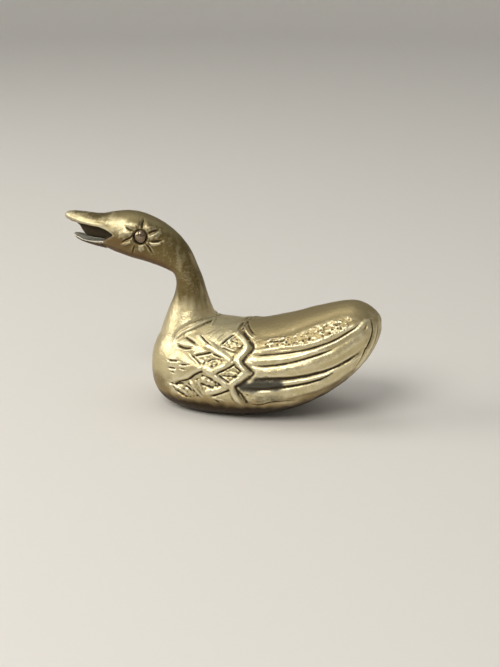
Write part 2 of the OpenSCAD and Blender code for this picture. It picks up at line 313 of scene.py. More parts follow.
edges = edges_of(skin.data)
points = eased(points_of(skin.data), edges, 10)
# The neck's foot runs softly into the body
foot_x, foot_length = -8, 13
foot_z, foot_height = 29.5, 4
foot = np.exp(
    -(((points[:, 0] - foot_x) / foot_length) ** 2) - ((points[:, 2] - foot_z) / foot_height) ** 2
)
points = points + foot[:, None] * (blurred(points, edges, 40) - points)
points[:, 2] = np.maximum(points[:, 2], 0)
put(skin.data, points)
normals = blurred(normals_of(skin.data), edges, 6)
normals /= np.linalg.norm(normals, axis=1)[:, None]

# The wings. Each is a raised fan of long feathers behind a zigzag border, with
# its edge turned round the tail. All the lines were cut into the pattern by
# hand and are mirrored on the other flank.
strokes = []


def chase(rows, on_tail=False):
    """Notes strokes by the flank's x and z, or by the tail's y and z.

    A stroke is a cut, a rib or a lap, with its height, its half width, how far
    its ends fade out, and its line.
    """
    strokes.extend((*row, on_tail) for row in rows)


chase([
    ("cut", 0.5, 0.6, 5,
     [(12.8, 22.5), (19.1, 23.6), (25.4, 24.8), (31.5, 26.3), (37.4, 28.5), (41.5, 30.8),
      (45.2, 33.3)]),
    ("cut", 0.45, 0.6, 5, [(13.2, 19.8), (19.5, 20.4), (25.7, 21.8), (31.7, 23.7), (38, 26.2)]),
    ("cut", 0.8, 0.95, 8,
     [(13.5, 15.5), (19.8, 16.2), (26, 16.8), (31.9, 18), (37.8, 19.7), (43.5, 22.8), (47.4, 26)]),
    ("cut", 0.65, 0.8, 6,
     [(10.3, 12.6), (16.7, 12.6), (22.9, 13.6), (29, 14.7), (34.9, 16.4), (38.5, 18.6)]),
    ("cut", 0.5, 0.8, 3, [(12.4, 7.2), (16.4, 6.8), (19.6, 7.9), (23.3, 8.4), (27, 8.6)]),
    ("rib", 0.35, 1, 4, [(14, 23.8), (23.4, 26), (30.2, 27.4), (35.5, 29.4), (41.2, 32), (46, 34)]),
    ("rib", 0.28, 1, 4, [(12.9, 21.2), (23.3, 22.6), (30, 24.4), (36, 26.4)]),
    ("rib", 0.5, 2, 4, [(14.5, 17.8), (22, 18.7), (30, 20.8), (37.4, 23.7), (44.4, 28.4), (48.3, 32)]),
    ("rib", 0.3, 0.9, 4, [(21, 14.8), (30.2, 16.4), (36, 18.2), (40.3, 20.4)]),
    ("rib", 0.45, 2.1, 4, [(14, 10), (24.8, 11.2), (30, 12.4), (36, 14.4), (41.6, 17.8), (46, 22.8)]),
    ("cut", 0.7, 1, 1.2,
     [(8.9, 27.8), (11.4, 26.3), (13.2, 24.7), (11.4, 21.7), (11, 20.2), (13.6, 18.4),
      (14.1, 17.2), (10.6, 13.7), (8.9, 12.5), (10.3, 10.4), (12.4, 6.8)]),
    ("rib", 0.65, 1.5, 1.2,
     [(6.2, 27.5), (8.4, 26.7), (11, 25), (9.8, 22.8), (8.7, 20.9), (11.1, 18.6), (11.6, 17.4),
      (9.2, 14.8), (7.6, 12.9), (9.3, 8.9), (11.2, 6.4)]),
    ("rib", 0.4, 0.5, 1.2, [(7.4, 28), (8.4, 28.5), (10.4, 27.5), (12.2, 26.9)]),
    ("cut", 0.4, 0.6, 1.2, [(6.9, 27.9), (7.2, 28.9), (9, 29), (12.4, 27.8)]),
    ("cut", 0.35, 0.35, 1.2, [(17.5, 26.7), (20, 27), (22.8, 27.5)]),
    ("rib", 0.25, 0.4, 1.2, [(17.3, 27.4), (20, 27.8), (22.6, 28.3)]),
    ("lap", 0.22, 1.2, 6,
     [(47, 35.2), (43.9, 35.8), (39.4, 35.3), (35, 33.9), (30.5, 32), (25.8, 29.8), (21.4, 28.3),
      (17.7, 27.3), (14.3, 27.2), (12, 27.6)]),
])
chase([
    ("cut", 0.65, 0.65, 3,
     [(4.6, 34.3), (5.6, 31.5), (6.6, 28.6), (7.6, 25.5), (7.8, 22.9), (7.7, 20), (7.1, 17.3)]),
    ("cut", 0.6, 0.5, 3,
     [(2.6, 32.6), (3.6, 30.4), (4.6, 27.6), (5.4, 24.4), (5.7, 21.4), (5.4, 18.4)]),
    ("rib", 0.4, 0.6, 3, [(3.6, 33.6), (4.7, 30.9), (5.7, 28), (6.6, 25), (6.8, 21.8), (6.4, 18)]),
], on_tail=True)
chase([
    ("rib", 0.45, 1.3, 2, [(44.6, 31.2), (46.3, 33), (47.6, 34.2), (48.2, 32.8), (48.4, 30.4)]),
])

# The breast feathers. They are puffed diamonds that lap over each other, with
# small gouges inside and hollow ones between, below a collar at the neck.
chase([
    ("rib", 0.65, 1.9, 1.2, [(-2.1, 24.4), (0.7, 23.2), (3.8, 21.8), (7.1, 20)]),
    ("rib", 0.35, 1.2, 1.2, [(-5.6, 26.5), (-3.1, 24.6), (-1.7, 23.2)]),
    ("cut", 0.45, 0.4, 1.2, [(-4.4, 26.2), (-2.2, 24.9), (0.1, 23.9)]),
    ("cut", 0.12, 0.35, 1.2, [(-3.2, 26.4), (-0.3, 27.8)]),
    ("cut", 0.12, 0.35, 1.2, [(-1.7, 25.6), (1.3, 27.8)]),
    ("cut", 0.12, 0.35, 1.2, [(0.3, 24.8), (3.3, 27)]),
    ("cut", 0.5, 0.5, 1.2, [(2.7, 24.3), (4, 25.6), (5.2, 26.5), (6.4, 27.1)]),
    ("cut", 0.4, 0.5, 1.2, [(3.1, 23.9), (6.5, 23.1), (8.3, 23.1)]),
    ("cut", 0.35, 0.4, 1.2, [(5.5, 25.7), (8.4, 25.3)]),
    ("cut", 0.28, 0.35, 1.2, [(4.4, 24.9), (5.8, 24.4)]),
    ("cut", 0.28, 0.35, 1.2, [(5.8, 23.9), (8, 24.3), (10.2, 24.2)]),
    ("cut", 0.45, 0.65, 1.2, [(-9.9, 25.4), (-5.2, 24)]),
    ("cut", 0.6, 0.65, 1.2, [(-11.7, 22.9), (-9, 22.5), (-6.2, 22.9)]),
    ("cut", 0.65, 0.6, 1.2, [(-5.4, 20.6), (-3.9, 21.3), (0.2, 22.3)]),
    ("cut", 0.5, 0.5, 1.2, [(0.5, 22), (4.4, 20.9)]),
    ("cut", 0.45, 0.45, 1.2, [(-0.6, 19.6), (0.7, 20.4), (2.7, 20.6)]),
    ("cut", 0.35, 0.35, 1.2, [(-2.3, 18.3), (-1.4, 19.7)]),
    ("rib", 0.65, 1.6, 1.2, [(-2.2, 17.6), (1.4, 17), (3.8, 18.3), (6.3, 20)]),
    ("cut", 0.7, 0.55, 1.2, [(2.4, 16.3), (5.6, 18.1), (8.4, 20)]),
    ("cut", 0.4, 0.45, 1.2, [(7.7, 19.2), (11, 17.8)]),
    ("cut", 0.5, 0.5, 1.2, [(4.6, 15.9), (8.4, 16), (9.8, 16.2)]),
    ("cut", 0.45, 0.45, 1.2, [(3, 16), (5.8, 14.4), (7.1, 14)]),
    ("cut", 0.5, 0.48, 1.2, [(-14.4, 18.1), (-10.4, 18.5)]),
    ("cut", 0.5, 0.45, 1.2, [(-10, 17.6), (-6.8, 17.9)]),
    ("cut", 0.5, 0.5, 1.2, [(-14.2, 15.8), (-11, 16.2)]),
    ("cut", 0.4, 0.42, 1.2, [(-10.1, 16.4), (-7.2, 16.4)]),
    ("cut", 0.4, 0.42, 1.2, [(-13.3, 14.7), (-11.4, 14.8)]),
    ("cut", 0.35, 0.4, 1.2, [(-6.8, 21.2), (-4.8, 20), (-2.5, 18.3)]),
    ("lap", 0.4, 0.8, 1.2, [(-12.4, 11.4), (-10, 12.4), (-7, 13.6), (-4.7, 15.5), (-1.9, 17)]),
    ("cut", 0.5, 0.5, 1.2, [(-11, 11.7), (-7, 13.3), (-4.6, 15.3), (-2, 16.7)]),
    ("rib", 0.55, 0.6, 1.2, [(-6.5, 13), (-4.9, 11), (-1.6, 7.6)]),
    ("rib", 0.3, 0.4, 1.2, [(-3.3, 12.8), (-2.3, 10.4)]),
    ("cut", 0.6, 0.6, 1.2, [(-2.4, 12.3), (1.6, 11.6)]),
    ("cut", 0.45, 0.45, 1.2, [(-2.6, 15.4), (0, 14.8), (1.8, 14.3)]),
    ("rib", 0.35, 0.5, 1.2, [(-2.5, 14.3), (-0.2, 13.7), (1.8, 13.1)]),
    ("rib", 0.6, 1.4, 1.2, [(-1.4, 9.6), (4.3, 11.9), (7, 13.4)]),
    ("cut", 0.6, 0.5, 1.2, [(0.7, 8.6), (4.3, 10.1), (6.8, 11.5)]),
    ("rib", 0.65, 1.4, 1.2, [(-1.2, 16.9), (0.9, 15.9), (3.6, 14.5), (6.4, 13)]),
    ("rib", 0.55, 0.6, 1.2, [(-14.3, 10.6), (-9.6, 9.5), (-6.9, 7.2)]),
    ("cut", 0.7, 0.75, 1.2, [(-10, 11.3), (-7.6, 10.6), (-5.2, 9.2)]),
    ("cut", 0.65, 0.7, 1.2, [(-11.6, 8.8), (-9.9, 7.9), (-8.4, 7.3)]),
    ("cut", 0.35, 0.4, 1.2, [(-7.5, 11.9), (-5.6, 11.2)]),
    ("rib", 0.35, 0.7, 1.2, [(-10.1, 6.4), (-6.2, 6.6)]),
    ("rib", 0.4, 0.5, 1.2, [(7.3, 12.1), (8.5, 9.1), (9.5, 7.8)]),
    ("cut", 0.45, 0.5, 1.2, [(9, 11.3), (10.4, 8.6), (11.6, 6.6)]),
    ("rib", 0.35, 0.5, 1.2, [(1, 8.3), (4.2, 7.9), (6.7, 7.1)]),
    ("cut", 0.45, 0.5, 1.2, [(1.7, 7.6), (3.6, 6.4)]),
    ("rib", 0.4, 0.6, 3,
     [(-2.1, 29.4), (-4.1, 29.3), (-6, 28.6), (-8.1, 27.7), (-10.9, 26.2), (-13, 24),
      (-13.4, 22.4)]),
    ("cut", 0.25, 0.8, 3,
     [(-4.4, 30.4), (-6.4, 29.8), (-8.6, 29), (-10.8, 27.7), (-12.7, 26), (-14.3, 23.6)]),
])

# Diamonds by their corners, and how far each is puffed up or sunk
pads = [
    (0.3, [(-4, 26.3), (-1, 28.2), (5.3, 27.8), (1.4, 24)]),
    (0.3, [(-12.5, 23.3), (-9.8, 25.9), (-3.9, 23.6), (-5.5, 21.2)]),
    (0.35, [(-15.4, 18), (-11.2, 21.8), (-2.7, 18), (-11.4, 12)]),
    (-0.35, [(2.9, 24.2), (6.4, 27.2), (11, 24.9), (7.9, 23)]),
    (-0.2, [(-3.8, 20), (0, 21.8), (4.8, 20.6), (1.2, 17.4)]),
    (-0.35, [(2.6, 16.2), (8.5, 20), (11, 17.6), (7.1, 14)]),
    (-0.25, [(-6.3, 13), (-2.4, 15.6), (3, 14), (5.6, 12.8), (-0.8, 9)]),
    (-0.3, [(-13.6, 11), (-7, 12.8), (-2.4, 8), (-8, 6), (-12, 8)]),
    (-0.25, [(9.4, 11.5), (18, 10.6), (18, 7.6), (11.8, 6.8)]),
]

# The head. A flower of petals is chased round each eye stud, and a bead runs
# along the edge of the upper bill.
eye_x, eye_z = -25.28, 55.67
ring_r = 2.35
ring = [
    (eye_x + ring_r * math.cos(turn), eye_z + ring_r * math.sin(turn))
    for turn in np.arange(13) * math.pi / 6
]
chase([
    ("cut", 0.32, 0.36, 0.1, ring),
    ("cut", 0.5, 0.42, 1.2, [(-24.9, 60.8), (-24.9, 59.5), (-24.8, 58)]),
    ("cut", 0.42, 0.45, 1.2, [(-30.4, 58.8), (-29, 58), (-27.5, 57.4)]),
    ("cut", 0.5, 0.42, 1.2, [(-23, 56.7), (-21.5, 57.5), (-19.5, 58)]),
    ("cut", 0.42, 0.42, 1.2, [(-22.4, 54.6), (-20.8, 54.5), (-18.2, 54.9)]),
    ("cut", 0.5, 0.38, 1.2, [(-23.4, 53.7), (-22.5, 52.7), (-21.4, 50.7)]),
    ("cut", 0.35, 0.32, 1.2, [(-22.5, 53.7), (-21, 52.9)]),
    ("cut", 0.4, 0.36, 1.2, [(-27, 53.1), (-27.7, 51.5), (-28.4, 49.8)]),
    ("cut", 0.5, 0.45, 1.2, [(-27.4, 56.6), (-28.3, 55.4), (-29.6, 54.7), (-31.2, 53.8)]),
    ("cut", 0.15, 0.3, 1.2, [(-25.9, 52.9), (-26.1, 51)]),
    ("cut", 0.15, 0.3, 1.2, [(-24.9, 52.9), (-24.6, 51)]),
    ("rib", 0.4, 0.6, 1.2, [(-22.4, 55.8), (-20.7, 56.5), (-19.1, 57.4)]),
    ("rib", 0.4, 0.5, 1.2, [(-31.8, 52.9), (-30, 53.3), (-28.4, 54)]),
    ("rib", 0.3, 0.8, 3, [(-51, 59.9), (-48.6, 59.3), (-45.6, 58.6), (-42, 58.2), (-38, 57.9)]),
])
pads += [
    (0.34,
     [(-30.5, 58.6), (-30.4, 60.2), (-28.2, 61), (-25.6, 60.6), (-25.3, 58.8), (-26.8, 57.6),
      (-28.6, 57.8)]),
    (0.34,
     [(-24.5, 58.3), (-24.6, 60.3), (-23.6, 60.6), (-20.3, 58.9), (-20.6, 58.3), (-22.4, 57.5),
      (-23.4, 57.6)]),
    (0.45, [(-22.6, 56), (-21, 56.8), (-18.9, 57.5), (-18.2, 56.6), (-19.6, 55.2), (-21.9, 54.9)]),
    (0.4, [(-22.2, 54.1), (-18.6, 54.3), (-18.4, 53.6), (-20.4, 52.8), (-21.9, 52.9)]),
    (0.5, [(-26.9, 51.6), (-26, 53.2), (-24.6, 53.6), (-23.6, 53), (-23.4, 51.6), (-25, 50.2)]),
    (0.45, [(-32, 52.8), (-30.4, 53.7), (-28.4, 54.3), (-27.8, 53.6), (-30.2, 52.4)]),
    (0.35,
     [(-33, 54.8), (-32.6, 56.8), (-30.4, 58.1), (-28.2, 57.2), (-27.8, 56.5), (-30, 55.1),
      (-32.3, 54.3)]),
]

# The strokes are pressed into the skin along its normals, then the marks of the
# mould are added: soft unevenness all over, pits on the wing's upper edge, and
# rough floors in the sunk diamonds.
far = 200
flank_y = -6
most_relief = 0.75
lip_height, lip_place, lip_width = 0.06, 1.25, 0.4
PITTED = [(12.5, 26.6), (19, 26.8), (26, 28.2), (32, 30.2), (37, 32.4), (41, 34.2)]
pit_depth = 0.2
fleck_height = 0.12
skin_tree = BVHTree.FromPolygons(
    [Vector(p) for p in points], [tuple(p.vertices) for p in skin.data.polygons]
)
# The right flank is folded over onto the left one
folded = points * np.array([1, 0, 1]) - np.abs(points) * np.array([0, 1, 0])


def seated(line, on_tail=False):
    """The stroke's points, dropped onto the left side of the skin."""
    out = []
    for a, b in spline(line, 5):
        if on_tail:
            hit = skin_tree.ray_cast(Vector((far, -a, b)), Vector((-1, 0, 0)))[0]
        else:
            hit = skin_tree.ray_cast(Vector((a, -far, b)), Vector((0, 1, 0)))[0]
        if hit is None:
            aim = Vector((body_high.x if on_tail else a, flank_y, b))
            hit = skin_tree.find_nearest(aim)[0]
        out.append(hit)
    return np.array(out)


def off_line(line, where):
    """Distance from a line, distance along it, its length, and the side."""
    best = np.full(len(where), 1e9)
    along = np.zeros(len(where))
    side = np.zeros(len(where))
    run = 0
    for a, b in zip(line, line[1:]):
        ab = b - a
        length = max(np.linalg.norm(ab), 1e-6)
        share = np.clip((where - a) @ ab / length**2, 0, 1)
        off = where - a - share[:, None] * ab
        away = np.linalg.norm(off, axis=1)
        closer = away < best
        best[closer] = away[closer]
        along[closer] = run + share[closer] * length
        side[closer] = np.sign(ab[0] * off[closer, 2] - ab[2] * off[closer, 0])
        run += length
    return best, along, run, side


def grain(where, size, shift=0.0):
    """Soft noise with lumps of about that size, from -1 to 1."""
    return np.array([noise.noise(Vector(p) / size + Vector((shift, 0, 0))) for p in where])


def smooth_step(value, low, high):
    """From 0 to 1 while the value goes from low to high."""
    t = np.clip((value - low) / (high - low), 0, 1)
    return t * t * (3 - 2 * t)


def inside_depth(outline, x, z):
    """How far inside a convex outline each point lies."""
    depth = np.full(len(x), 1e9)
    middle = np.mean(outline, axis=0)
    for (ax, az), (bx, bz) in zip(outline, outline[1:] + outline[:1]):
        nx, nz = az - bz, bx - ax
        length = math.hypot(nx, nz)
        facing = math.copysign(1, (middle[0] - ax) * nx + (middle[1] - az) * nz)
        depth = np.minimum(depth, facing * ((x - ax) * nx + (z - az) * nz) / length)
    return depth


broad = grain(points, 6)
middling = grain(points, 2.2, 7)
fine = grain(points, 0.9, 19)
height = np.zeros(len(points))
for kind, depth, half, fading, line, on_tail in strokes:
    track = seated(line, on_tail)
    reach = half * (3 if kind == "lap" else 1.9)
    close = ((folded > track.min(0) - reach) & (folded < track.max(0) + reach)).all(1)
    near = np.flatnonzero(close)
    away, along, length, side = off_line(track, folded[near])
    fading = min(fading, length / 2)
    fade = 0.3 + 0.7 * smooth_step(np.minimum(along, length - along), 0, fading)
    hand = depth * fade * (1 + 0.35 * middling[near])
    u = away / (half * (1 + 0.2 * broad[near]))
    body = np.clip(1 - u * u, 0, None) ** 2
    if kind == "rib":
        height[near] += hand * body
    elif kind == "cut":
        lip = np.exp(-(((u - lip_place) / lip_width) ** 2))
        height[near] += hand * (lip_height * lip - body)
    else:
        signed = side * u
        height[near] += hand * signed * np.exp(0.5 - 0.5 * signed * signed)
rough = np.zeros(len(points))
on_flank = smooth_step(-folded[:, 1], 1.5, 3)
for lift, outline in pads:
    depth = inside_depth(outline, folded[:, 0], folded[:, 2])
    if lift > 0:
        height += on_flank * lift * smooth_step(depth, -0.2, min(2, 0.9 * depth.max()))
    else:
        floor_of = on_flank * smooth_step(depth, -0.1, 0.7)
        height += lift * floor_of
        rough = np.maximum(rough, floor_of)
height = most_relief * np.tanh(height / most_relief)

# A band of pits and specks along the upper edge of the wing, wider behind
away = off_line(seated(PITTED), folded)[0]
half_band = 1.3 + 1.2 * middling + 0.8 * fine + 0.05 * np.clip(folded[:, 0], 0, 30)
pitted = smooth_step(half_band - away, 0, 1.2) * on_flank
rough = np.maximum(rough, 0.7 * pitted)
height += rough * 0.22 * (fine + 0.5 * middling)
height -= pitted * pit_depth * smooth_step(grain(points, 0.6, 43) + 0.5 * middling, 0.15, 0.5)
drawn_out = grain(points * np.array([0.6, 1, 1]), 0.8, 83)
flecks = pitted * smooth_step(drawn_out + 0.4 * middling, 0.12, 0.42)
height += fleck_height * flecks

# Unevenness all over, more of it on the bill. The flat patch that the bird
# stands on stays flat, and the bill and the tail keep their reach.
height += 0.1 * broad + 0.05 * middling + 0.03 * fine
height += 0.05 * (fine + middling) * smooth_step(-points[:, 0], 33, 37)
height *= smooth_step(points[:, 2], 0.2, 3)
points = points + normals * height[:, None]
points[:, 2] = np.maximum(points[:, 2], 0)
points = eased(points, edges, 1)
inner_low, inner_high = (np.array(corner) / MM for corner in CAD_BOX)
points = np.clip(points, inner_low, inner_high - 0.005)
put(skin.data, points)
normals = normals_of(skin.data)


def dip_of(where, edges, facing, passes, deep):
    """How far the surface dips below its surroundings, in parts of deep."""
    return ((blurred(where, edges, passes) - where) * facing).sum(1) / deep


# Masks for the finish, each from 0 to about 1: how hollow it is, where the
# neck and the low breast carry painted dark reflection and shade and the tail's
# tip a darker tone, where the top is dull and carries painted shade, where
# painted shade and reflection lie underneath, and where the black stain sits.
hollow = dip_of(points, edges, normals, 14, 0.1)
# The broader dip is painted shade: it darkens wide recesses and their floors
hollow += dip_of(points, edges, normals, 60, 0.5)
lean = blurred(normals[:, 2:3], edges, 60)[:, 0]
x, z = points[:, 0], points[:, 2]
neck_low, neck_high = 27, 41
brow_x, brow_z = -33, 59
jaw_x, jaw_z = -34, 53.5
bill_x = -35.2
edge_z, edge_slope = 57.4, 0.2

# Painted dark reflection and shade on the neck, with painted vertical streaks of reflection, and on
# the low breast. The brow and the bill's lower edge are kept out of it and stay bright, the bill's
# edge as a painted highlight. The tail's tip gets the same darker tone.
forward = smooth_step(-x, -4, 4)
streaks = grain(points * np.array([1, 1, 0.12]), 1.3, 51)
tan = smooth_step(z + 1.5 * broad, neck_low, neck_high) * forward * (0.85 + 0.4 * streaks)
forehead = np.exp(-(((x - brow_x) / 4.5) ** 2) - ((z - brow_z) / 2.5) ** 2)
above_edge = z - edge_z + edge_slope * (x - bill_x)
bill_edge = (x < -34) * np.exp(-((above_edge / 0.85) ** 2))
tan *= 1 - 0.9 * np.maximum(forehead, bill_edge)
low_breast = smooth_step(-x + 1.5 * middling, 10, 17) * smooth_step(-z + 1.5 * middling, -18, -8)
tan = np.maximum(tan, np.maximum(0.8 * low_breast, 0.4 * smooth_step(x, 46.5, 49)))

# Dull and painted top shade: khaki and rougher where the surface faces up,
# which is a painted shade, and dull in the pitted band, below it and on the
# tail's rim. The neck's foot, the brow, the bill and the shoulders are kept
# out of it and stay bright; on the shoulders that is a painted highlight.
UNDER_PITS = [(20, 26.4), (30, 28.8), (38, 31.7), (44, 34.4)]
dull = smooth_step(lean + 0.12 * middling, 0.45, 0.85)
dull *= 1 - 0.9 * smooth_step(-x, -9, -3) * smooth_step(-z, -36, -32)
dull *= 1 - 0.5 * np.maximum(forehead, forward * smooth_step(-z, -34, -26))
dull *= 1 - smooth_step(-x, 33, 37)
dull = np.maximum(dull, 0.95 * pitted)
away = off_line(seated(UNDER_PITS), folded)[0]
dull = np.maximum(dull, 0.9 * smooth_step(1.6 + middling - away, 0, 1.2))
dull -= 1.5 * flecks
# Painted highlight: the shoulders are kept bright
dull -= 0.9 * smooth_step(-x, -8, -2) * smooth_step(z, 15, 24) * smooth_step(-z, -37, -32)
dull = np.maximum(dull, 0.6 * smooth_step(x, 46, 50) + 0.4 * middling * (x > 47))

# Painted shade and painted dark reflection underneath: surfaces that face down, a band low on the
# belly and a patch at the jaw go brown.
brown = smooth_step(-lean + 0.08 * middling + 0.15 * (z > 40), 0.3, 0.9)
belly = smooth_step(-z + 0.6 * middling, -10.5, -3.5) * smooth_step(-lean, -0.2, 0.2)
jaw = np.exp(-(((x - jaw_x) / 6) ** 2) - ((z - jaw_z) / 2.2) ** 2)
brown = np.maximum(brown, belly)
brown = np.maximum(brown, 0.5 * smooth_step(jaw + 0.2 * middling, 0.1, 0.9))

# Painted shadow in the mouth: its inside is darkened through the hollow mask
in_mouth = (x < -34.8) * (np.abs(points[:, 1]) < 3.6) * (z > 52.3) * (z < 57.8)
hollow += 3 * blurred(in_mouth[:, None].astype(float), edges, 3)[:, 0]

# The stain is on the left wing only: how dark, half width and middle line
STAINS = [
    (1.0, 2.0, [(11, 12.9), (15, 13.6), (19, 14.3), (22.4, 14.3)]),
    (0.8, 1.1, [(15.8, 15.2), (18, 16.2), (20.5, 15.6)]),
    (0.5, 2.2, [(17, 9), (19.5, 9.8), (22.5, 10.2)]),
]
stain = np.zeros(len(points))
for share, half, line in STAINS:
    away = off_line(seated(line), folded)[0]
    stain = np.maximum(stain, share * smooth_step(half + middling - away, -0.9, 1.3))
stain *= points[:, 1] < 0
masks = {"hollow": hollow, "dull": dull, "brown": brown, "stain": stain, "tan": tan}


def finder_of(where):
    """Finds which of the points lies nearest to a place."""
    finder = kdtree.KDTree(len(where))
    for i, p in enumerate(where):
        finder.insert(p, i)
    finder.balance()
    return finder


def nearest_to(finder, mesh):
    """For each vertex, which point lies nearest."""
    return [finder.find(v.co)[1] for v in mesh.vertices]


skin_finder = finder_of(points)

# Finish of the castings. Sand-cast brass that was scratch-brushed and then
# handled for years: bright on what stands out, worn and partly a painted
# highlight, and dark in the cuts, with painted shade in wide recesses, a khaki
# painted shade on the back where it faces up, and painted brown shade and
# reflection underneath.
COLOR, FLOAT = "NodeSocketColor", "NodeSocketFloat"
SOOT = (0.022, 0.022, 0.02)
base_roughness = 0.4


def feed(tree, socket, value):
    """Links a socket to another, or sets it."""
    if isinstance(value, bpy.types.NodeSocket):
        tree.links.new(value, socket)
    else:
        socket.default_value = value


def add(tree, kind, settings, **values):
    """A shader node with its settings, and its sockets fed."""
    node = tree.nodes.new("ShaderNode" + kind)
    for name, value in settings.items():
        setattr(node, name, value)
    for name, value in values.items():
        feed(tree, node.inputs[name], value)
    return node


def mixed(tree, share, first, second):
    """One colour over another, as far as the share says."""
    node = add(tree, "Mix", {"data_type": "RGBA"}, Factor=share)
    for socket, value in ((node.inputs[6], first), (node.inputs[7], second)):
        feed(tree, socket, (*value, 1) if isinstance(value, tuple) else value)
    return node.outputs[2]


def maths(tree, operation, a, b=0.0, c=0.0):
    """A sum on up to three values."""
    node = add(tree, "Math", {"operation": operation})
    for socket, value in zip(node.inputs, (a, b, c)):
        feed(tree, socket, value)
    return node.outputs[0]


def ramped(tree, value, low, high):
    """From 0 to 1 while the value goes from low to high."""
    range_of = {"From Min": low, "From Max": high}
    node = add(tree, "MapRange", {"interpolation_type": "SMOOTHSTEP"}, Value=value, **range_of)
    return node.outputs["Result"]


def lumps(tree, where, scale, detail):
    """Noise with so many lumps in a metre."""
    node = add(tree, "TexNoise", {}, Vector=where, Scale=scale, Detail=detail)
    return node.outputs["Fac"]


def mask_of(tree, name):
    """A mask that the mesh carries."""
    settings = {"attribute_name": name, "attribute_type": "GEOMETRY"}
    return add(tree, "Attribute", settings).outputs["Fac"]


def sockets(tree, inputs, outputs):
    """Gives a node group its sockets."""
    for name, kind, value in inputs:
        socket = tree.interface.new_socket(name, in_out="INPUT", socket_type=kind)
        socket.default_value = value
    for name, kind in outputs:
        tree.interface.new_socket(name, in_out="OUTPUT", socket_type=kind)
    return tree.nodes.new("NodeGroupInput").outputs, tree.nodes.new("NodeGroupOutput").inputs


aged = bpy.data.node_groups.new("aged_brass", "ShaderNodeTree")
given, result = sockets(
    aged,
    [
        ("Bright", COLOR, (0.8, 0.7, 0.45, 1)),
        ("Clean", COLOR, (0.6, 0.5, 0.28, 1)),
        ("Khaki", COLOR, (0.3, 0.24, 0.13, 1)),
        # The next three colours paint dark reflection and shade: on the neck, then underneath.
        ("Tan", COLOR, (0.22, 0.16, 0.065, 1)),
        ("Warm", COLOR, (0.36, 0.26, 0.12, 1)),
        ("Brown", COLOR, (0.13, 0.09, 0.045, 1)),
        ("Dark", COLOR, (0.05, 0.04, 0.02, 1)),
        ("Wear", FLOAT, 1.0),
        ("Polish", FLOAT, 0.0),
        ("Grime", FLOAT, 1.0),
    ],
    [("Color", COLOR), ("Roughness", FLOAT), ("Metallic", FLOAT), ("Height", FLOAT)],
)
place = add(aged, "TexCoord", {}).outputs["Object"]
blotch = lumps(aged, place, 110, 3)
mottle = lumps(aged, place, 420, 3)
speck = lumps(aged, place, 1900, 2)
speck_off = maths(aged, "SUBTRACT", speck, 0.5)
mottle_off = maths(aged, "SUBTRACT", mottle, 0.5)
hollowness = mask_of(aged, "hollow")


def summed(start, *terms):
    """Adds to the first value each other one times its number."""
    for value, gain in terms:
        start = maths(aged, "MULTIPLY_ADD", value, gain, start)
    return start


# Bright where the surface stands out: real wear on ridges, and a painted highlight on broad rises and
# on top of the eye studs
raised = maths(aged, "MULTIPLY", hollowness, -1)
raised = summed(raised, (speck_off, 1.8), (mask_of(aged, "dull"), -0.7))
wear = maths(aged, "MULTIPLY", ramped(aged, raised, 0.1, 1.4), given["Wear"])
# Dark dirt in the cuts, and painted shade where the hollow mask carries it: in wide recesses and in
# the mouth
deep = summed(hollowness, (mottle_off, 0.8), (speck_off, 1.5))
grime = maths(aged, "MULTIPLY", ramped(aged, deep, 0.3, 1.8), given["Grime"])
# Khaki: a dull tone in the pitted band, below it and on the tail's rim, and painted shade on the top
# where it faces up and round the grooves
khaki = summed(mask_of(aged, "dull"), (mottle_off, 0.9), (hollowness, 0.35))
khaki = ramped(aged, khaki, 0.15, 0.85)
# Painted shade and reflection underneath: first a warm brown, then a dark one.
under = summed(mask_of(aged, "brown"), (mottle_off, 0.3))
warm = maths(aged, "MULTIPLY", ramped(aged, under, 0.05, 0.5), 0.8)
under = ramped(aged, under, 0.4, 0.95)
# Painted dark reflection and shade on the neck and the low breast, and a darker tone on the tail's tip
tanned = ramped(aged, summed(mask_of(aged, "tan"), (mottle_off, 0.15)), 0.1, 0.9)
black = summed(mask_of(aged, "stain"), (mottle_off, 0.4), (speck_off, 0.5))
black = ramped(aged, black, 0.1, 0.95)

polished = maths(aged, "MULTIPLY", ramped(aged, blotch, 0.4, 0.75), 0.4)
tone = mixed(aged, polished, given["Clean"], given["Bright"])
for share, colour in (
    (tanned, given["Tan"]),
    (maths(aged, "MULTIPLY", wear, 0.8), given["Bright"]),
    (khaki, given["Khaki"]),
    (warm, given["Warm"]),
    (under, given["Brown"]),
    (maths(aged, "MULTIPLY", black, 0.92), SOOT),
    (grime, given["Dark"]),
):
    tone = mixed(aged, share, tone, colour)
rough_of = summed(
    base_roughness, (khaki, 0.12), (grime, 0.2), (under, 0.06), (speck_off, 0.25), (black, 0.25)
)
rough_of = maths(aged, "SUBTRACT", rough_of, given["Polish"])
metal = summed(1.0, (grime, -0.5), (black, -0.6))
bumps = summed(maths(aged, "MULTIPLY", mottle, 0.5), (speck, 0.7))
feed(aged, result["Color"], tone)
feed(aged, result["Roughness"], rough_of)
feed(aged, result["Metallic"], metal)
feed(aged, result["Height"], bumps)


